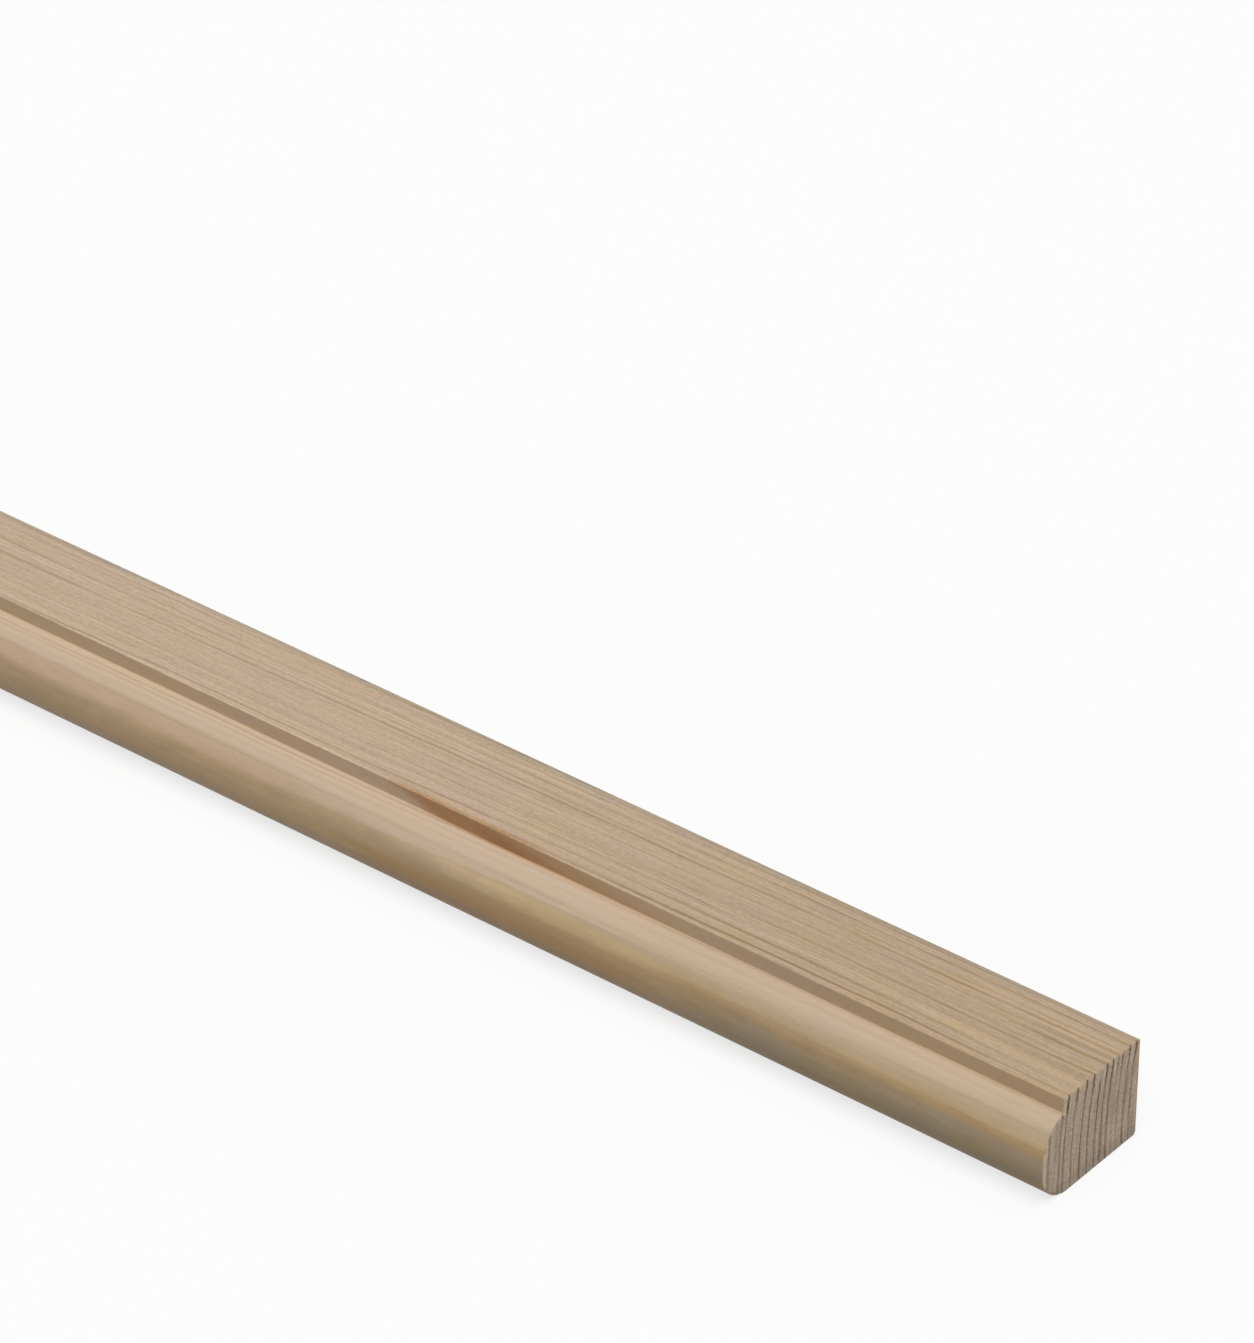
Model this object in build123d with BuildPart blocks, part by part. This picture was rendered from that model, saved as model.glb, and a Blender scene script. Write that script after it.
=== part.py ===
from build123d import *
from math import acos, degrees
import os

# Staff bead moulding: one straight length of planed softwood with a quirked bead run
# along its front edge. It lies on its plain wide face. +X runs along the length, +Y points
# to the plain back edge and +Z up to the quirked face. The origin is on the plain face,
# midway along the length and midway across the width. Sizes are in millimetres.

# Stock
length = 2400.0  # as sold, cut square at both ends
width = 28.0  # nose of the bead to the back edge
thickness = 21.0  # plain face to quirked face

# Bead and quirk
bead_width = 5.5  # nose of the bead to the wall of the quirk
quirk_depth = 3.1  # quirked face down to the bead, at the wall
bead_radius = 8.0  # upper round, from the nose up to the wall
heel_radius = 7.3  # lower round, from the plain face up to the nose

# Arrises
foot_arris = 0.8  # back edge to the plain face
face_arris = 0.3  # back edge to the quirked face
quirk_arris = 0.2  # wall of the quirk to the quirked face

front = -width / 2
back = width / 2
quirk_wall = front + bead_width

# The upper round leaves the nose upright and ends where it runs into the wall.
bead_sweep = degrees(acos((bead_radius - bead_width) / bead_radius))
bead_rise = (bead_radius**2 - (bead_radius - bead_width) ** 2) ** 0.5
bead_start = thickness - quirk_depth - bead_rise

with BuildPart() as staff_bead:
    with BuildSketch(Plane.YZ.offset(-length / 2)) as section:
        with BuildLine() as outline:
            plain_face = Line((back, 0), (front + heel_radius, 0))
            heel = JernArc(plain_face @ 1, plain_face % 1, heel_radius, -90)
            nose = Line(heel @ 1, (front, bead_start))
            bead = JernArc(nose @ 1, nose % 1, bead_radius, -bead_sweep)
            wall = Line(bead @ 1, (quirk_wall, thickness))
            quirked_face = Line(wall @ 1, (back, thickness))
            back_edge = Line(quirked_face @ 1, plain_face @ 0)
        make_face()

        fillet(section.vertices().group_by(Axis.X)[-1].sort_by(Axis.Y)[0], foot_arris)
        fillet(section.vertices().group_by(Axis.Y)[-1].sort_by(Axis.X)[-1], face_arris)
        fillet(section.vertices().group_by(Axis.Y)[-1].sort_by(Axis.X)[0], quirk_arris)
    extrude(amount=length)

staff_bead.part.label = "staff_bead"

os.makedirs("parts", exist_ok=True)
export_step(staff_bead.part, "parts/staff_bead.step")
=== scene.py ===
from math import acos, ceil, cos, hypot, pi, radians, sin

import bpy
from mathutils import Matrix, Vector
from mathutils.geometry import delaunay_2d_cdt


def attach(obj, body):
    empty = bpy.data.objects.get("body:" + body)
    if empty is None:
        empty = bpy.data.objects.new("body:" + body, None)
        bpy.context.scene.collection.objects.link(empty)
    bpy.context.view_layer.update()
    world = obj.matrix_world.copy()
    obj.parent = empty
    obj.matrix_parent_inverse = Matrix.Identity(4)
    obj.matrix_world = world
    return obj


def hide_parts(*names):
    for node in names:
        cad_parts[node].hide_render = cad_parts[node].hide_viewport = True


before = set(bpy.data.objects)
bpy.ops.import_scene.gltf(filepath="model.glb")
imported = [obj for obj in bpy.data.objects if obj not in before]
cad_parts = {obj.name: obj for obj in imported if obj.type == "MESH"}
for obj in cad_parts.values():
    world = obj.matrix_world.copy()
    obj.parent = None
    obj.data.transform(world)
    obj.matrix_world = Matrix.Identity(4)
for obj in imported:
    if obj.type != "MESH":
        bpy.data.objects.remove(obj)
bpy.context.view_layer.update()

# Where the photograph was taken from: a long lens above and in front of the sawn end at
# +X, which takes in about the last 0.27 m of the moulding.
eye = Vector((1.73439, -0.79480, 0.74597))
turned, raised, rolled = radians(38.7858), radians(33.8689), radians(0.1603)
backwards = Vector((sin(turned) * cos(raised), -cos(turned) * cos(raised), sin(raised)))
level = (-backwards).cross(Vector((0, 0, 1))).normalized()
upright = level.cross(-backwards)
across = cos(rolled) * level + sin(rolled) * upright
along_sight = Matrix((across, backwards.cross(across), backwards)).transposed()

lens = bpy.data.cameras.new("camera")
lens.lens, lens.sensor_width = 184.50, 36.0
lens.clip_start, lens.clip_end = 0.05, 200.0
camera = bpy.data.objects.new("camera", lens)
camera.matrix_world = Matrix.Translation(eye) @ along_sight.to_4x4()
bpy.context.scene.collection.objects.link(camera)
bpy.context.scene.camera = camera

# The moulding: one length of planed redwood, its quirk and bead cut by the planer's shaped
# cutters along the front edge, and both ends sawn square. Its section is in millimetres.
mm = 0.001
in_mm = 1000.0  # a measure in metres times this is in millimetres
length = 2400.0
width, thickness = 28.0, 21.0
bead_width, quirk_depth = 5.5, 3.1
bead_radius, heel_radius = 8.0, 7.3
foot_arris, face_arris, quirk_arris = 0.8, 0.3, 0.2
front, back = -width / 2, width / 2
quirk_wall, quirk_floor = front + bead_width, thickness - quirk_depth
bead_sweep = acos((bead_radius - bead_width) / bead_radius)
bead_foot = quirk_floor - bead_radius * sin(bead_sweep)


def arc(middle, radius, start, sweep, step):
    """Points round an arc, its last one left to what follows. Angles in radians."""
    parts = max(3, ceil(abs(sweep) * radius / step))
    turns = [start + sweep * k / parts for k in range(parts)]
    return [(middle[0] + radius * cos(a), middle[1] + radius * sin(a)) for a in turns]


def run(start, end, step):
    """Points along a straight face, its last one left to what follows."""
    parts = ceil(hypot(end[0] - start[0], end[1] - start[1]) / step)
    return [(start[0] + (end[0] - start[0]) * k / parts,
             start[1] + (end[1] - start[1]) * k / parts) for k in range(parts)]


# The outline goes anticlockwise seen from +X, from the start of the plain face that it lies
# on. These are the gaps between its points on each face and round.
plain_step, nose_step, bead_step, top_step = 0.8, 0.4, 0.3, 0.25
foot_step, face_step, quirk_step = 0.2, 0.1, 0.07
section = run((front + heel_radius, 0.0), (back - foot_arris, 0.0), plain_step)
section += arc((back - foot_arris, foot_arris), foot_arris, -pi / 2, pi / 2, foot_step)
section += run((back, foot_arris), (back, thickness - face_arris), plain_step)
section += arc((back - face_arris, thickness - face_arris), face_arris, 0, pi / 2, face_step)
section += run((back - face_arris, thickness), (quirk_wall + quirk_arris, thickness), top_step)
section += arc((quirk_wall + quirk_arris, thickness - quirk_arris), quirk_arris,
               pi / 2, pi / 2, quirk_step)
section += run((quirk_wall, thickness - quirk_arris), (quirk_wall, quirk_floor), bead_step)
section += arc((front + bead_radius, bead_foot), bead_radius,
               pi - bead_sweep, bead_sweep, bead_step)
section += run((front, bead_foot), (front, heel_radius), nose_step)
section += arc((front + heel_radius, heel_radius), heel_radius, pi, pi / 2, nose_step)


def inside(y, z, clear):
    """Whether a place is in the section, with some clearance from its outline."""
    if not (clear < z < thickness - clear and y < back - clear):
        return False
    if z > quirk_floor and y < quirk_wall + clear:
        return False
    if y < front + clear:
        return False
    if z > bead_foot and y < quirk_wall:
        return hypot(y - front - bead_radius, z - bead_foot) < bead_radius - clear
    if z < heel_radius and y < front + heel_radius:
        return hypot(y - front - heel_radius, z - heel_radius) < heel_radius - clear
    if y > back - foot_arris and z < foot_arris:
        return hypot(y - back + foot_arris, z - foot_arris) < foot_arris - clear
    if y > back - face_arris and z > thickness - face_arris:
        return False
    return True


# The sawn face has its points in files that follow the growth rings, so that grooves and
# ridges in it run true. The rings bow towards the pith, a little less at the front.
file_gap, point_gap, edge_clear = 0.21, 0.24, 0.13
spare = 2  # past the section on each side, where no point is kept
pith_bow, ring_level = 270.0, 2.0
bow_least, bow_more, bow_from, bow_to = 0.75, 0.3, -9.0, 1.0
grain_points = []
for i in range(ceil((width + 2 * spare) / file_gap)):
    for j in range(ceil(thickness / point_gap)):
        z = (j + 0.5 * (i % 2)) * point_gap
        y = front - spare + i * file_gap
        fuller = min(1, max(0, (y - bow_from) / (bow_to - bow_from)))
        y += (z - ring_level) ** 2 / pith_bow * (bow_least + bow_more * fuller)
        if inside(y, z, edge_clear):
            grain_points.append((y, z))
loop_points = len(section)
flat_points = [Vector(p) for p in section + grain_points]
outline = [(k, (k + 1) % loop_points) for k in range(loop_points)]
places, _, faces, *_ = delaunay_2d_cdt(flat_points, outline, [], 1, 1e-6)

sawn_face = bpy.data.meshes.new("moulding")
sawn_face.from_pydata([(0, y * mm, z * mm) for y, z in places], [], [tuple(f) for f in faces])
if sawn_face.polygons[0].normal.x < 0:
    sawn_face.flip_normals()
moulding = bpy.data.objects.new("moulding", sawn_face)
bpy.context.scene.collection.objects.link(moulding)


class Wire:
    """A socket of a node tree, for sums: an expression on wires adds its nodes."""

    def __init__(self, tree, socket=None):
        self.tree, self.socket = tree, socket

    def node(self, kind, settings, sockets, out=0):
        """A new node with its settings and sockets set; gives one of its outputs."""
        made = self.tree.nodes.new(kind)
        for name, value in settings.items():
            if name == "stops":
                ramp = made.color_ramp
                while len(ramp.elements) < len(value):
                    ramp.elements.new(0.5)
                for stop, (place, colour) in zip(ramp.elements, value):
                    stop.position = place
                    stop.color = (*colour, 1.0)
            elif name == "blend":
                made.color_ramp.interpolation = value
            elif name == "points":
                curve = made.mapping.curves[0]
                while len(curve.points) < len(value):
                    curve.points.new(0.5, 0.5)
                for point, place in zip(curve.points, value):
                    point.location = place
                    point.handle_type = "VECTOR"
                made.mapping.update()
            else:
                setattr(made, name, value)
        for name, value in sockets.items():
            if isinstance(value, Wire):
                self.tree.links.new(value.socket, made.inputs[name])
            else:
                made.inputs[name].default_value = value
        return Wire(self.tree, made.outputs[out] if made.outputs else None)

    def out(self, name):
        """Another output of the node that this one comes from."""
        return Wire(self.tree, self.socket.node.outputs[name])

    def math(self, operation, *values):
        return self.node("ShaderNodeMath", {"operation": operation}, dict(enumerate(values)))

    def __add__(self, other):
        return self.math("ADD", self, other)

    __radd__ = __add__

    def __sub__(self, other):
        return self.math("SUBTRACT", self, other)

    def __rsub__(self, other):
        return self.math("SUBTRACT", other, self)

    def __mul__(self, other):
        return self.math("MULTIPLY", self, other)

    __rmul__ = __mul__

    def __truediv__(self, other):
        return self.math("DIVIDE", self, other)

    def __pow__(self, other):
        return self.math("POWER", self, other)

    def __gt__(self, other):
        return self.math("GREATER_THAN", self, other)

    def smooth(self, low, high):
        """0 below low, 1 above high and an even curve between; high may be the lower."""
        start, end, first, last = (low, high, 0.0, 1.0) if low < high else (high, low, 1.0, 0.0)
        return self.node("ShaderNodeMapRange", {"interpolation_type": "SMOOTHSTEP"},
                         {0: self, 1: start, 2: end, 3: first, 4: last})

    def noise(self, x, y, z, detail=2.0, rough=0.5):
        """Noise, 0 to 1, at a place worked out in its own grain sizes."""
        place = self.node("ShaderNodeCombineXYZ", {}, {0: x, 1: y, 2: z})
        return self.node("ShaderNodeTexNoise", {"noise_dimensions": "3D"},
                         {"Vector": place, "Scale": 1.0, "Detail": detail, "Roughness": rough})

    def times(self, under, over):
        """The colour under, multiplied by the colour over by this amount."""
        return self.node("ShaderNodeMix", {"data_type": "RGBA", "blend_type": "MULTIPLY"},
                         {0: self, 6: under, 7: over}, 2)

    def times_grey(self, colour, shade):
        """A colour made lighter or darker by a number near 1."""
        grey = self.node("ShaderNodeCombineXYZ", {}, {0: shade, 1: shade, 2: shade})
        return self.node("ShaderNodeVectorMath", {"operation": "MULTIPLY"}, {0: colour, 1: grey})

    def either(self, off, on):
        """One number where this is 0 and the other where it is 1."""
        return self.node("ShaderNodeMix", {"data_type": "FLOAT"}, {0: self, 2: off, 3: on})

    def mix(self, under, over):
        """The colour over, laid on the colour under by this amount."""
        return self.node("ShaderNodeMix", {"data_type": "RGBA"}, {0: self, 6: under, 7: over}, 2)

    def along(self, places, most):
        """A measure at this distance from the end, from a list of places, up to most."""
        points = [(distance / length, value / most) for distance, value in places]
        return self.node("ShaderNodeFloatCurve", {"points": points},
                         {"Value": self / length}) * most


# Growth rings: where each one's hard edge meets the section, 2 mm above the plain face. Then
# how dark its latewood is on the planed faces, up to 40 mm from the end at +X, on to 100 mm
# and farther back, and how dark and sunk it is on the sawn ends.
ring_places = (-14.9, -13.1, -11.3, -9.8, -8.5, -6.05, -3.45, -1.3,
               0.8, 2.55, 4.3, 5.95, 7.35, 9.45, 11.35)
darkness_at_end = (0.15, 0.12, 0.1, 0.25, 0.40, 0.38, 0.25, 0.6,
                   0.12, 0.25, 0.4, 0.6, 0.35, 0.6, 0.1)
darkness_near = (0.15, 0.12, 0.1, 0.25, 1.20, 0.98, 0.38, 0.6,
                 0.2, 0.18, 0.2, 0.8, 0.35, 0.6, 0.32)
darkness_far = (0.3, 0.15, 0.1, 0.2, 0.35, 0.5, 0.22, 0.22,
                0.12, 0.16, 0.12, 0.5, 0.2, 0.35, 0.2)
ring_depth = (0.5, 0.65, 0.25, 0.9, 0.9, 0.75, 0.95, 0.9,
              1.0, 1.0, 0.95, 0.35, 0.5, 0.9, 0.8)
rings_span, widest_ring = 28.6, 4.0
ring_ends = ring_places[1:] + (ring_places[0] + rings_span,)
ring_widths = [(end - start) / widest_ring for start, end in zip(ring_places, ring_ends)]
# How far the rings have moved towards the bead, at distances back from the end at +X, and
# how far the ones at the front lag behind that: from where, to where, and how much more.
drift = ((0, 0.0), (15, 0.1), (30, 0.2), (50, 0.3), (70, 0.5), (90, 1.1), (110, 1.45),
         (135, 2.0), (160, 2.5), (185, 3.1), (210, 3.5), (235, 4.0), (400, 6.4), (620, 8.4),
         (900, 8.0), (1200, 5.6), (1500, 5.0), (1800, 7.4), (2100, 11.5), (2400, 14.0))
most_drift, drift_from, drift_full = 20.0, -13.4, -9.0
lag_from, lag_full = 4.0, -6.0
most_wave, most_ripple = 0.6, 0.26
lags = ((0.0, 48.0, 0.5), (72.0, 92.0, 0.35), (115.0, 150.0, -0.4), (165.0, 200.0, 0.5))


def growth(x, y, z):
    """The wood at a place in millimetres: how far through a year's growth it is, counted
    back from the hard edge, which year, and its place across the rings."""
    start = length / 2 - x
    wave = x.noise(x * 0.035, y * 0.12, z * 0.12, 1.0) - 0.5
    ripple = x.noise(x * 0.14, y * 0.5, z * 0.2, 1.0) - 0.5
    bow = (z - ring_level) ** 2.0 / pith_bow * (y.smooth(bow_from, bow_to) * bow_more + bow_least)
    level = y - bow + ripple * most_ripple
    lag = sum(start.smooth(begins, ends) * more for begins, ends, more in lags)
    moved = start.along(drift, most_drift) - lag * level.smooth(lag_from, lag_full)
    moved = (moved + wave * most_wave) * level.smooth(drift_from, drift_full)
    across_rings = level + moved
    spot = x.math("WRAP", across_rings - ring_places[0], rings_span, 0.0) / rings_span
    years = len(ring_places)
    steps = [((p - ring_places[0]) / rings_span, k / years) for k, p in enumerate(ring_places)]
    count = x.node("ShaderNodeFloatCurve", {"points": steps + [(1.0, 1.0)]},
                   {"Value": spot}) * years
    return x.math("FRACT", count), x.math("FLOOR", count), across_rings


def in_from_front(y, z):
    """How far in a place is from the front outline of the section: wall, bead, nose, heel."""
    bead = bead_radius - y.math("SQRT", (y - (front + bead_radius)) ** 2.0
                                + (z - bead_foot) ** 2.0)
    heel = heel_radius - y.math("SQRT", (y - (front + heel_radius)) ** 2.0
                                + (z - heel_radius) ** 2.0)
    corner = y.math("SQRT", (y - quirk_wall) ** 2.0 + (z - quirk_floor) ** 2.0)
    far = (z > heel_radius).either(heel, y - front)
    far = (z > bead_foot).either(far, bead)
    far = (y > quirk_wall).either(far, corner)
    far = (z > quirk_floor).either(far, y - quirk_wall)
    # Behind the heel nothing counts as front, so the measure goes on growing there.
    past_heel = (y - (front + heel_radius)) * 0.6
    return y.math("MAXIMUM", far, past_heel)


def ring_facts(year, first, second, third):
    """Three facts about a year out of their lists, as the parts of one colour."""
    years = len(ring_places)
    stops = [(k / years, (first[k], second[k], third[k])) for k in range(years)]
    return year.node("ShaderNodeValToRGB", {"blend": "CONSTANT", "stops": stops},
                     {"Fac": (year + 0.5) / years})


# The moulding's body is swept from the sawn face by rule: its outline is set out at stations
# along the length, close together near the end that shows, and both ends are closed with it.
crowding, weld = 4.0, 0.00001
tree = bpy.data.node_groups.new("moulding", "GeometryNodeTree")
inputs = (("Length", "NodeSocketFloat", length * mm), ("Stations", "NodeSocketInt", 270),
          ("Outline Points", "NodeSocketInt", loop_points),
          ("End Spacing", "NodeSocketFloat", 0.12), ("Planed Ridge", "NodeSocketFloat", 0.00003),
          ("Ring Groove", "NodeSocketFloat", 0.00021), ("Saw Fuzz", "NodeSocketFloat", 0.00013),
          ("Kerf Marks", "NodeSocketFloat", 0.00004), ("Front Break", "NodeSocketFloat", 0.00014),
          ("Break Width", "NodeSocketFloat", 0.0006))
tree.interface.new_socket("Geometry", in_out="INPUT", socket_type="NodeSocketGeometry")
for name, kind, value in inputs:
    tree.interface.new_socket(name, in_out="INPUT", socket_type=kind).default_value = value
tree.interface.new_socket("Material", in_out="INPUT", socket_type="NodeSocketMaterial")
tree.interface.new_socket("Geometry", in_out="OUTPUT", socket_type="NodeSocketGeometry")
g = Wire(tree)
given = g.node("NodeGroupInput", {}, {})

index = g.node("GeometryNodeInputIndex", {}, {})
row = given.out("Outline Points") + 1.0
station = g.math("FLOOR", (index + 0.5) / row)
at = g.math("FLOORED_MODULO", index - station * row + 0.5, given.out("Outline Points"))
at = g.math("FLOOR", at)
position = g.node("GeometryNodeInputPosition", {}, {})
on_outline = g.node("GeometryNodeSampleIndex", {"data_type": "FLOAT_VECTOR", "domain": "POINT"},
                    {"Geometry": given, "Value": position, "Index": at})
outline_yz = g.node("ShaderNodeSeparateXYZ", {}, {0: on_outline})
share = station / (given.out("Stations") - 1.0)
near = given.out("End Spacing")
share = near * share + (1.0 - near) * share ** crowding
x_at = given.out("Length") * (0.5 - share)
swept = g.node("ShaderNodeCombineXYZ", {}, {0: x_at, 1: outline_yz.out("Y"),
                                            2: outline_yz.out("Z")})
grid = g.node("GeometryNodeMeshGrid", {}, {"Size X": 1.0, "Size Y": 1.0,
                                           "Vertices X": given.out("Stations"),
                                           "Vertices Y": row})
body = g.node("GeometryNodeSetPosition", {}, {"Geometry": grid, "Position": swept})

half = given.out("Length") * 0.5
right = g.node("ShaderNodeCombineXYZ", {}, {0: half})
left = g.node("ShaderNodeCombineXYZ", {}, {0: 0.0 - half})
right_end = g.node("GeometryNodeTransform", {}, {"Geometry": given, "Translation": right})
left_end = g.node("GeometryNodeTransform", {}, {"Geometry": given, "Translation": left})
left_end = g.node("GeometryNodeFlipFaces", {}, {"Mesh": left_end})
joined = g.node("GeometryNodeJoinGeometry", {}, {})
for part in (left_end, right_end, body):
    tree.links.new(part.socket, joined.socket.node.inputs[0])
closed = g.node("GeometryNodeMergeByDistance", {}, {"Geometry": joined, "Distance": weld})

# Relief: the planer leaves the hard latewood a hair proud on the long faces; the saw leaves
# torn, fuzzy earlywood, sunk latewood, and broken fibres along the arris that it came out of.
end_skin, facing_out, sharp_turn = 0.05, 0.7, 0.75
place = g.node("ShaderNodeSeparateXYZ", {}, {0: position})
x, y, z = (in_mm * place.out(axis) for axis in "XYZ")
year_gone, year, _ = growth(x, y, z)
facts = g.node("FunctionNodeSeparateColor", {},
               {0: ring_facts(year, darkness_near, ring_widths, ring_depth)})
from_edge = year_gone * facts.out(1) * widest_ring
late = from_edge.smooth(0.75, 0.1)
at_end = g.math("ABSOLUTE", x) > length / 2 - end_skin
normal = g.node("GeometryNodeInputNormal", {}, {})
side = g.node("ShaderNodeVectorMath", {"operation": "MULTIPLY"}, {0: normal, 1: (0, 1, 1)})
side = g.node("ShaderNodeVectorMath", {"operation": "NORMALIZE"}, {0: side})
sunk = (g.math("MINIMUM", late * facts.out(0), 1.0) - 1.0) * given.out("Planed Ridge")
planed = g.node("ShaderNodeVectorMath", {"operation": "SCALE"}, {0: side, "Scale": sunk})

fuzz = g.noise(x * 0.5, y * 3.4, z, 3.0, 0.7).smooth(0.35, 0.72)
kerf = g.noise(x * 0.5, (y + z) * 0.25, (y - z) * 1.6, 2.0).smooth(0.4, 0.7)
rim = in_from_front(y, z)
broken = (rim * mm / given.out("Break Width")).smooth(1.0, 0.55)
# The saw tears the wood less close to the back edge and the foot.
calm = g.math("MINIMUM", (back - y).smooth(0.1, 1.2), z.smooth(0.1, 1.2)) * 0.8 + 0.2
groove = from_edge.smooth(1.05, 0.55) * from_edge.smooth(0.12, 0.34) * facts.out(2)
sunk_end = groove * given.out("Ring Groove") * (1.0 - broken)
sunk_end = sunk_end + fuzz * given.out("Saw Fuzz") + kerf * given.out("Kerf Marks")
sunk_end = sunk_end * calm + broken * given.out("Front Break")
outward = g.math("SIGN", x)
sawn = g.node("ShaderNodeCombineXYZ", {}, {0: 0.0 - outward * sunk_end})
offset = g.node("ShaderNodeMix", {"data_type": "VECTOR"}, {0: at_end, 4: planed, 5: sawn}, 1)
end_normal = g.node("ShaderNodeSeparateXYZ", {}, {0: normal})
is_sawn = g.math("ABSOLUTE", end_normal.out("X")) > facing_out
marked = g.node("GeometryNodeStoreNamedAttribute", {"data_type": "FLOAT", "domain": "FACE"},
                {"Geometry": closed, "Name": "sawn", "Value": is_sawn})
carved = g.node("GeometryNodeSetPosition", {}, {"Geometry": marked, "Offset": offset})
smooth = g.node("GeometryNodeSetShadeSmooth", {"domain": "FACE"}, {"Geometry": carved})
corner = g.node("GeometryNodeInputMeshEdgeAngle", {}, {}) > sharp_turn
smooth = g.node("GeometryNodeSetShadeSmooth", {"domain": "EDGE"},
                {"Geometry": smooth, "Selection": corner, "Shade Smooth": False})
whole = g.node("GeometryNodeRealizeInstances", {}, {"Geometry": smooth})
finished = g.node("GeometryNodeSetMaterial", {}, {"Geometry": whole,
                                                  "Material": given.out("Material")})
result = tree.nodes.new("NodeGroupOutput")
tree.links.new(finished.socket, result.inputs[0])

# The pine: pale earlywood with thin brown latewood lines on the upper face, broad soft bands
# on the bead, a resin stain in the quirk, and greyer, rougher wood where it is sawn.
pine = bpy.data.materials.new("planed_pine")
pine.use_nodes = True
pine.node_tree.nodes.clear()
s = Wire(pine.node_tree)
place = s.node("ShaderNodeTexCoord", {}, {}, "Object")
place = s.node("ShaderNodeSeparateXYZ", {}, {0: place})
x, y, z = (in_mm * place.out(axis) for axis in "XYZ")
from_end = length / 2 - x
on_top = z.smooth(thickness - 0.3, thickness - 0.05)
on_bead = y.smooth(quirk_wall - 0.02, quirk_wall - 0.12)
from_wall = y - quirk_wall
in_quirk = from_wall.smooth(0.1, 0.03) * z.smooth(quirk_floor - 0.3, quirk_floor + 0.05)

year_gone, year, across_rings = growth(x, y, z)
facts = s.node("ShaderNodeSeparateColor", {},
               {0: ring_facts(year, darkness_near, ring_widths, ring_depth)})
shades = s.node("ShaderNodeSeparateColor", {},
                {0: ring_facts(year, darkness_at_end, darkness_near, darkness_far)})
darkness = from_end.smooth(12.0, 42.0).either(shades, shades.out(1))
darkness = from_end.smooth(88.0, 112.0).either(darkness, shades.out(2))
from_edge = year_gone * facts.out(1) * widest_ring
late = from_edge.smooth(1.0, 0.26) * from_edge.smooth(0.0, 0.22)
fade = s.noise(x * 0.02, year * 7.3, z * 0.05, 2.0).smooth(0.3, 0.7)
broken_up = s.noise(x * 0.11, year * 5.1, z * 0.3, 2.0).smooth(0.28, 0.62)
late = late * darkness * (fade * 0.45 + 0.78) * (broken_up * 0.5 + 0.75)
# One line is at its darkest just behind the end that shows.
from_darkest = across_rings - ring_places[9]
end_line = from_darkest.smooth(0.75, 0.2) * from_darkest.smooth(0.0, 0.12)
late = s.math("MAXIMUM", late, end_line * from_end.smooth(30.0, 3.0) * 1.9)
late = late * (1.0 - in_quirk * 0.8)

cool_wood, warm_wood = (0.575, 0.439, 0.327, 1), (0.584, 0.441, 0.293, 1)
latewood = (0.318, 0.212, 0.104, 1)
bead_far = (1.070, 1.065, 1.085, 1)
tint = s.noise(x * 0.06, across_rings * 0.45, z * 0.3, 2.0, 0.6).smooth(0.30, 0.70)
tint = (tint - 0.5) * (1.0 - on_bead * 0.65) + 0.5
wood = tint.mix(cool_wood, warm_wood)
wood = (from_end.smooth(60.0, 120.0) * on_bead).times(wood, bead_far)

# Edge grain, on the two wide faces, reads darker than the flat grain of the bead; the darkening
# is partly painted shade, strongest near the end at +X.
edge_grain_and_shade_near, edge_grain_and_shade_far = (0.800, 0.770, 0.720, 1), (0.900, 0.890, 0.885, 1)
edge_grain_and_shade = (from_end + s.noise(x * 0.006, y * 0.06, z, 1.0) * 60.0).smooth(30.0, 250.0)
edge_grain_and_shade = edge_grain_and_shade.mix(edge_grain_and_shade_near, edge_grain_and_shade_far)
edge_face = s.math("MAXIMUM", on_top, z.smooth(0.3, 0.05))
wood = edge_face.times(wood, edge_grain_and_shade)

# The flat grain of the bead lies along a year's growth: paler above, browner on the nose,
# with the last of one year's dark wood running out along it and grey patches under it.
nose_tan, nose_far = (0.530, 0.402, 0.262, 1), (0.566, 0.400, 0.236, 1)
nose_brown, nose_deep = (0.560, 0.378, 0.205, 1), (0.520, 0.325, 0.160, 1)
nose_grey = (0.455, 0.385, 0.300, 1)
nose_wave = s.noise(x * 0.022, z * 0.08, y * 0.05, 2.0) - 0.5
nose_ripple = s.noise(x * 0.16, z * 0.5, y * 0.2, 2.0) - 0.5
nose_height = z + nose_wave * 0.7 + nose_ripple * 0.45
# Heights on the nose, at distances back from the end at +X: where the tan wood begins, where
# the brown wood begins under it, and how grey it is there.
tan_edge = ((0, 15.6), (25, 15.3), (50, 14.9), (90, 14.8), (112, 14.3), (130, 14.0),
            (150, 13.2), (166, 12.5), (190, 11.8), (210, 11.5), (235, 11.4), (260, 11.8),
            (500, 13.0), (1000, 14.3), (1500, 13.2), (2000, 12.4), (2400, 14.0))
brown_edge = ((0, 12.4), (40, 12.5), (72, 12.6), (84, 12.2), (94, 11.5), (120, 11.5),
              (140, 10.6), (160, 9.4), (180, 8.0), (400, 6.0), (800, 9.0), (1200, 11.5),
              (1800, 9.0), (2400, 11.0))
greyness = ((0, 0.8), (14, 1.0), (28, 0.4), (45, 0.1), (62, 0.5), (74, 0.55), (86, 0.0),
            (400, 0.0), (700, 0.4), (1100, 0.0), (1700, 0.5), (2400, 0.2))
most_height, most_grey = 20.0, 1.0
past_tan = nose_height - from_end.along(tan_edge, most_height)
past_brown = nose_height - from_end.along(brown_edge, most_height)
grey_at = from_end.along(greyness, most_grey)

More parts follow.
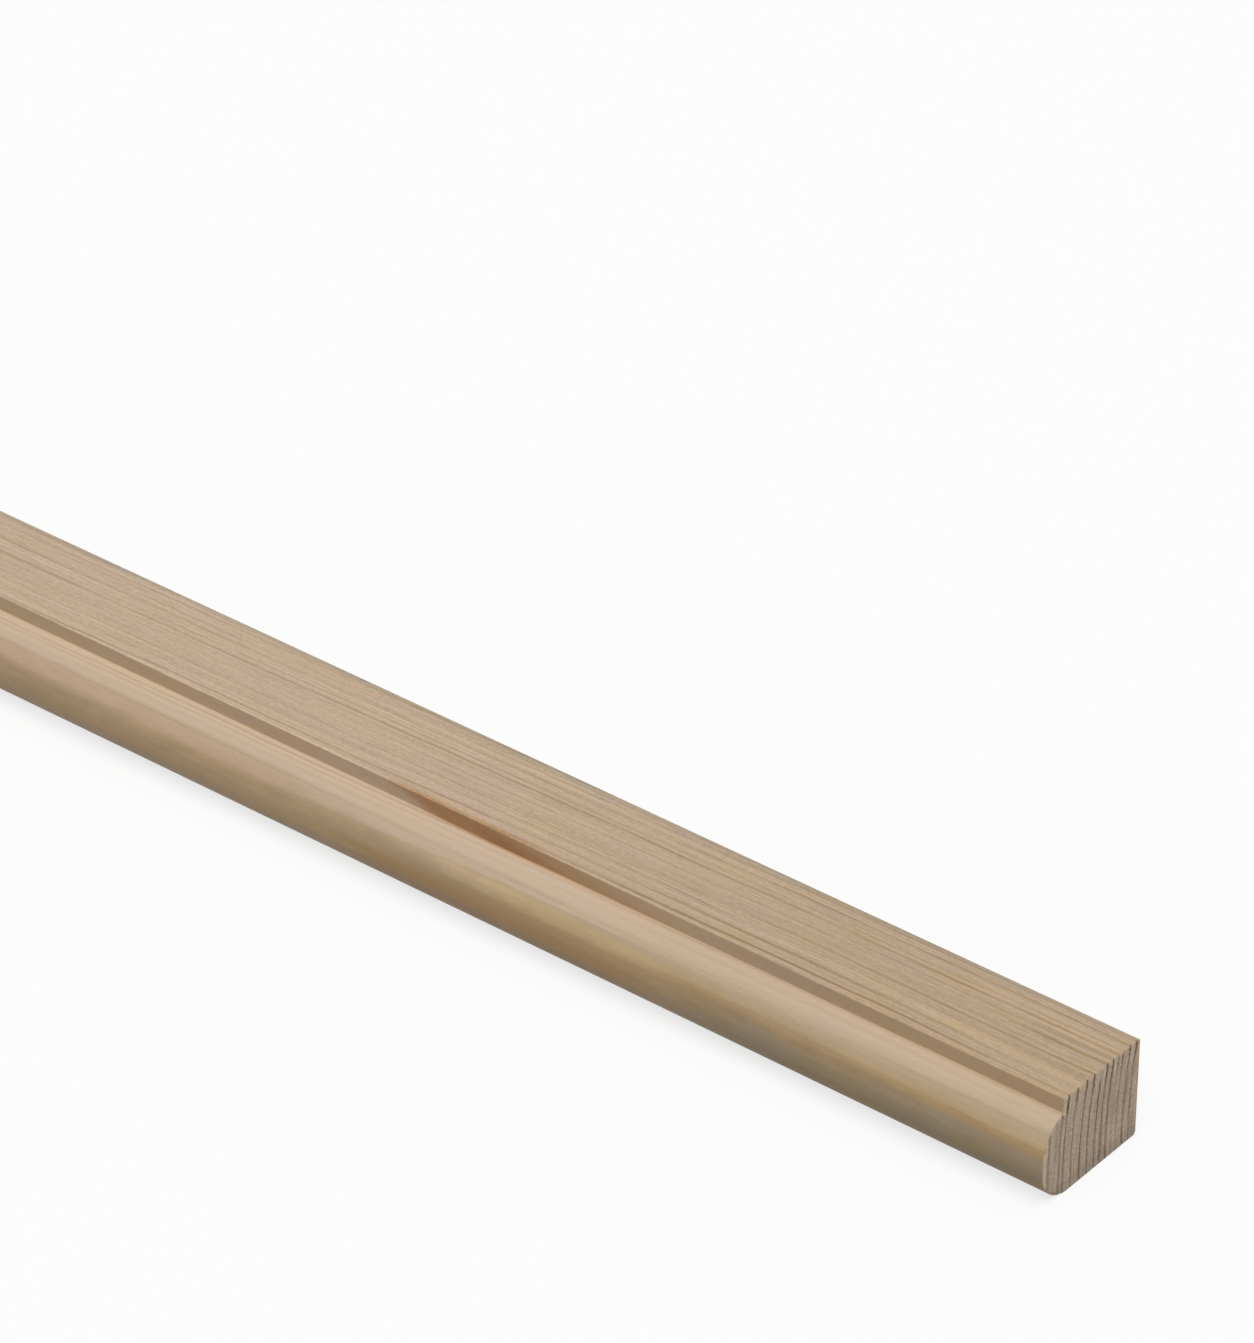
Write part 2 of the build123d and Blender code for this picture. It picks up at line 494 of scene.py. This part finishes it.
faint_tint, warmer_tint = (0.930, 0.885, 0.830, 1), (1.030, 1.000, 0.870, 1)
paler_tint, hem_tint = (1.150, 1.130, 1.100, 1), (0.930, 0.900, 0.830, 1)
faint = (nose_height - 15.1).smooth(0.1, -0.4) * from_end.smooth(145.0, 185.0) * on_bead
wood = faint.times(wood, faint_tint)
tan = from_end.smooth(110.0, 170.0).mix(nose_tan, nose_far)
warmer = nose_height.smooth(14.3, 12.9) * from_end.smooth(140.0, 115.0)
tan = warmer.times(tan, warmer_tint)
wood = (past_tan.smooth(0.10, -0.25) * on_bead * 0.92).mix(wood, tan)
softer = from_end.smooth(76.0, 94.0) * 0.8 + from_end.smooth(122.0, 140.0) * 1.3 + 0.5
brown = (past_brown / softer).smooth(0.15, -0.70) * on_bead
wood = (brown * 0.88).mix(wood, nose_brown)
paler = from_end.smooth(80.0, 92.0) - from_end.smooth(130.0, 150.0)
paler = paler + from_end.smooth(165.0, 195.0) * 0.65
paler = paler * nose_height.smooth(14.2, 12.8) * nose_height.smooth(10.0, 11.4)
lower = nose_height.smooth(11.9, 10.9) * nose_height.smooth(8.6, 9.6)
paler = s.math("MAXIMUM", paler, lower * from_end.smooth(135.0, 165.0) * 0.6)
wood = (paler * on_bead).times(wood, paler_tint)
# A thin darker line along the top of the brown wood.
hem = past_brown.smooth(0.30, 0.02) * past_brown.smooth(-0.65, -0.15)
hem = hem * from_end.smooth(92.0, 78.0) * on_bead
wood = (hem * (nose_ripple * 1.6 + 0.8)).times(wood, hem_tint)

deep = z.smooth(10.5, 7.0) * from_end.smooth(82.0, 98.0) * on_bead
wood = (deep * (1.0 - from_end.smooth(145.0, 168.0) * 0.85)).mix(wood, nose_deep)
grey_patch = s.noise(x * 0.045, z * 0.3, y * 0.3, 2.0).smooth(0.25, 0.60) * z.smooth(11.6, 9.6)
wood = (grey_patch * grey_at * on_bead * 0.8).mix(wood, nose_grey)
mottle = s.noise(x * 0.16, z * 0.5, y * 0.3, 3.0, 0.6) - 0.5
wood = s.times_grey(wood, 1.0 + mottle * 0.30 * on_bead * z.smooth(15.5, 12.5))

# Round the heel, painted shade and painted light set by height: the wood is cooler and darker
# near the end that shows, darker lower down, and paler farther back. Each tint here goes with how
# much of it there is at a place.
heel_shade_near = z.smooth(9.6, 7.6) * from_end.smooth(92.0, 60.0)
under = z.smooth(7.2, 5.0)
warm_under = from_end.smooth(92.0, 70.0) * 0.45 + from_end.smooth(30.0, 8.0) * 0.55
for amount, heel_light_and_shade in (
        (z.smooth(7.8, 5.6) * from_end.smooth(50.0, 100.0), (1.060, 1.090, 1.160, 1)),
        (heel_shade_near * (from_end.smooth(8.0, 34.0) * 0.4 + 0.6), (0.870, 0.930, 0.970, 1)),
        (under * from_end.smooth(70.0, 95.0), (0.970, 1.000, 1.050, 1)),
        (under * warm_under, (1.000, 0.945, 0.700, 1)),
        (z.smooth(12.6, 11.3) * from_end.smooth(92.0, 78.0), (0.925, 0.930, 0.930, 1)),
        (z.smooth(9.6, 7.2) * (1.0 - from_end.smooth(145.0, 180.0) * 0.5),
         (0.860, 0.865, 0.875, 1))):
    # Painted light and shade on the heel, laid on by height.
    wood = (amount * on_bead).times(wood, heel_light_and_shade)

# Painted shade in the quirk: its wall is darkened, and warmed as if by light off the bead, most
# near the end that shows.
wall_shade_near, wall_shade_far = (0.915, 0.850, 0.770, 1), (0.960, 0.900, 0.835, 1)
wood = in_quirk.times(wood, from_end.smooth(40.0, 90.0).mix(wall_shade_near, wall_shade_far))
wood = late.mix(wood, latewood)

# Fibres: long streaks and fine grit that follow the rings, strongest on the upper face.
streak = s.noise(x * 0.012, across_rings * 2.2, z * 0.2, 2.0, 0.6)
broad = s.noise(x * 0.011, across_rings * 0.32, z * 0.2, 1.0)
fine = s.noise(x * 0.15, across_rings * 3.6, z * 1.5, 3.0, 0.75)
grit = s.noise(x * 0.8, across_rings * 3.0, z * 2.0, 2.0, 0.7)
shade = ((broad - 0.5) * 0.25 + (streak - 0.5) * 0.60 + (fine - 0.5) * 0.64
         + (grit - 0.5) * 0.64)
wood = s.times_grey(wood, 1.0 + shade * (on_top * 0.78 + 0.22))

# Wear and painted light along the two upper arrises: paler, rubbed fibres with a painted
# highlight at the quirk, and a back corner darkened by painted shade.
wear_and_highlight_tint, back_arris_shade_tint = (1.110, 1.100, 1.080, 1), (0.830, 0.890, 0.930, 1)
# A painted highlight, with paler rubbed fibres, along the quirk's arris.
quirk_arris_wear_and_highlight = from_wall.smooth(0.75, 0.45) * z.smooth(20.7, 20.85)
quirk_arris_wear_and_highlight = quirk_arris_wear_and_highlight * s.noise(x * 0.5, y, z, 2.0).smooth(0.25, 0.55)
wood = quirk_arris_wear_and_highlight.times(wood, wear_and_highlight_tint)
# Painted shade along the back corner of the upper face.
back_arris_shade = y.smooth(12.0, 13.3) * z.smooth(20.55, 20.75) * (s.noise(x * 0.1, y, z, 2.0) + 0.5)
wood = back_arris_shade.times(wood, back_arris_shade_tint)

# The resin stain: it runs along the wall of the quirk and a little over its arris, slants
# with the grain, and has a darker, redder middle.
resin, resin_heart = (0.805, 0.645, 0.460, 1), (0.930, 0.860, 0.800, 1)
resin_red = (0.900, 0.810, 0.830, 1)
resin_end, resin_tail, resin_lean = 153.0, 82.0, 3.8
lean = from_end - (z - 19.3) * resin_lean + s.noise(x * 0.25, z, y, 2.0) * 4.0 - 2.0
stain = lean.smooth(resin_end, resin_end - 11) * lean.smooth(resin_tail, resin_tail + 45)
soak = s.noise(x * 0.10, y * 0.5, z * 0.5, 3.0)
edge_soak = s.math("MAXIMUM", from_wall.smooth(0.1, 0.03),
                   from_wall.smooth(1.6, 0.3) * from_end.smooth(104.0, 122.0) * 0.75)
stain = stain * edge_soak * z.smooth(quirk_floor - 0.3, quirk_floor + 0.05)
wood = (stain * (soak * 0.7 + 0.65)).times(wood, resin)
heart = from_end.smooth(149.0, 143.0) * from_end.smooth(119.0, 128.0)
heart = heart * in_quirk * (z + (from_end - 134.0) * 0.10).smooth(17.6, 19.8)
wood = (heart * 0.7).times(wood, resin_heart)
red = from_end.smooth(136.0, 128.0) * from_end.smooth(114.0, 122.0) * z.smooth(20.4, 19.0)
wood = (red * in_quirk * 0.8).times(wood, resin_red)

# The sawn ends: torn pale fibres between the rings, dark latewood in their grooves, and the
# saw's slanting scratches, whiskers and pits over both.
sawn_early, sawn_late = (0.628, 0.490, 0.372, 1), (0.186, 0.110, 0.062, 1)
sawn_front, sawn_foot = (0.720, 0.575, 0.400, 1), (0.790, 0.830, 0.845, 1)
sawn_red = (0.235, 0.120, 0.085, 1)
fuzz = s.noise(x * 0.5, y * 4.2, z * 1.6, 4.0, 0.8)
stripes = s.noise(x * 0.5, across_rings * 3.0, z * 0.12, 2.0, 0.6)
scratches = s.noise(x * 0.5, y * 0.38 - z * 0.32, y * 2.2 + z * 2.7, 2.0).smooth(0.58, 0.72)
speck = s.noise(x * 0.5, y * 3.2, z * 2.4, 2.0).smooth(0.60, 0.70)
whisker = s.noise(x * 0.5, y * 1.3 - z * 0.9, y * 2.6 + z * 3.8, 2.0, 0.6).smooth(0.60, 0.72)
pit = s.noise(x * 0.5 + 7.0, y * 3.4, z * 2.6, 2.0).smooth(0.62, 0.72)
upper = z.smooth(15.5, 19.5)
smoother = y.smooth(1.3, 2.0) * y.smooth(4.6, 3.6) * z.smooth(17.4, 19.0)
weak = s.noise(x * 0.5, across_rings * 0.6, z * 0.10, 1.0).smooth(0.30, 0.55) * 0.2 + 0.8
end_late = from_edge.smooth(1.00, 0.52) * from_edge.smooth(0.12, 0.36) * facts.out(2)
end_late = end_late * (0.26 + fuzz * 1.02) * weak * (1.0 + upper * 0.95)
end_late = end_late * (1.0 - smoother * 0.85)
sawn_wood = end_late.mix(sawn_early, sawn_late)
sawn_wood = s.times_grey(sawn_wood, 0.575 + fuzz * 0.62 + (stripes - 0.5) * 1.15 + upper * 0.10
                         + scratches * 0.10 + speck * 0.34 + whisker * 0.42 - pit * 0.34)
# A spot of darker, redder wood by the upper edge, then the paler fray along the front and
# the upper arris, and darker, greyer wood towards the foot.
spot = s.math("SQRT", (y - 8.9) ** 2.0 + ((z - 19.7) * 0.7) ** 2.0) + fuzz * 0.4
sawn_wood = (spot.smooth(0.75, 0.35) * 0.7).mix(sawn_wood, sawn_red)
strip = s.math("MAXIMUM", z.smooth(3.6, 4.6) * z.smooth(13.0, 11.4), z.smooth(16.8, 17.6))
strip = in_from_front(y, z).smooth(0.78, 0.55) * strip
sawn_wood = (strip * (0.6 + fuzz * 0.5)).mix(sawn_wood, sawn_front)
top_fray = z.smooth(20.35, 20.8) * (1.0 - end_late * 0.8)
sawn_wood = (top_fray * (0.2 + fuzz)).mix(sawn_wood, sawn_front)
sawn_wood = z.smooth(3.8, 0.6).times(sawn_wood, sawn_foot)

# Planed wood is a little smoother than sawn wood, and the latewood stands proud of it.
planed_rough, sawn_rougher = 0.58, 0.3
sawn = s.node("ShaderNodeAttribute", {"attribute_name": "sawn"}, {}, "Fac")
grain_bump = s.node("ShaderNodeBump", {}, {"Strength": 0.25, "Distance": 0.00006,
                                           "Height": late + streak * 0.8})
finish = s.node("ShaderNodeBsdfPrincipled", {}, {
    "Base Color": sawn.mix(wood, sawn_wood), "Roughness": planed_rough + sawn * sawn_rougher,
    "Specular IOR Level": 0.3, "Normal": grain_bump})
s.node("ShaderNodeOutputMaterial", {}, {"Surface": finish})

# The finished shape is kept as one plain mesh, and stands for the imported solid.
shaping = moulding.modifiers.new("shaping", "NODES")
shaping.node_group = tree
sockets = {item.name: item.identifier for item in tree.interface.items_tree
           if item.in_out == "INPUT"}
for name, _, value in inputs:
    shaping[sockets[name]] = value
shaping[sockets["Material"]] = pine
seen = bpy.context.evaluated_depsgraph_get()
made = bpy.data.meshes.new_from_object(moulding.evaluated_get(seen))
moulding.modifiers.clear()
moulding.data = made
moulding.data.name = "moulding"
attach(moulding, "root")
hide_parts("staff_bead")

# The floor: a plain pale sheet under the moulding, wide enough to fill every view. It keeps
# the shadow, and reads as the white page that the moulding was photographed on.
reach = 60.0
floor_lit, floor_seen, glow_share = (0.32, 0.32, 0.32, 1), (0.95, 0.95, 0.95, 1), 0.75
floor_mesh = bpy.data.meshes.new("floor")
floor_mesh.from_pydata([(-reach, -reach, 0), (reach, -reach, 0), (reach, reach, 0),
                        (-reach, reach, 0)], [], [(0, 1, 2, 3)])
floor = bpy.data.objects.new("floor", floor_mesh)
bpy.context.scene.collection.objects.link(floor)


def seen_as_picture(wire):
    """1 for the rays that show a backdrop itself: the camera's, mirrored and clear ones."""
    ray = wire.node("ShaderNodeLightPath", {}, {})
    return wire.math("MAXIMUM", ray.out("Is Camera Ray"), wire.math(
        "MAXIMUM", ray.out("Is Glossy Ray"), ray.out("Is Transmission Ray")))


pale = bpy.data.materials.new("pale_floor")
pale.use_nodes = True
pale.node_tree.nodes.clear()
f = Wire(pale.node_tree)
shown = seen_as_picture(f)
matt = f.node("ShaderNodeBsdfDiffuse", {}, {"Color": shown.mix(floor_lit, floor_seen)})
glow = f.node("ShaderNodeEmission", {}, {"Color": (1, 1, 1, 1), "Strength": 1.0})
blend = f.node("ShaderNodeMixShader", {}, {0: shown * glow_share, 1: matt, 2: glow})
f.node("ShaderNodeOutputMaterial", {}, {"Surface": blend})
floor_mesh.materials.append(pale)

# The light: a wide soft lamp high above the front, and an even pale room round it, which
# the camera sees as plain white.
lamp = bpy.data.lights.new("soft_lamp", "SUN")
lamp.energy = 0.62 * pi
lamp.angle = radians(50)
above = bpy.data.objects.new("soft_lamp", lamp)
aim = Vector((0.32, -0.27, 1.0)).normalized()
above.rotation_mode = "QUATERNION"
above.rotation_quaternion = aim.to_track_quat("Z", "Y")
above.location = aim * 3
bpy.context.scene.collection.objects.link(above)

room = bpy.data.worlds.new("room")
room.use_nodes = True
room.node_tree.nodes.clear()
bpy.context.scene.world = room
w = Wire(room.node_tree)
room_light = w.node("ShaderNodeBackground", {}, {"Color": (1, 1, 1, 1), "Strength": 0.40})
backdrop = w.node("ShaderNodeBackground", {}, {"Color": (1, 1, 1, 1), "Strength": 1.0})
blend = w.node("ShaderNodeMixShader", {}, {0: seen_as_picture(w), 1: room_light, 2: backdrop})
w.node("ShaderNodeOutputWorld", {}, {"Surface": blend})

bpy.context.scene.view_settings.view_transform = "Standard"
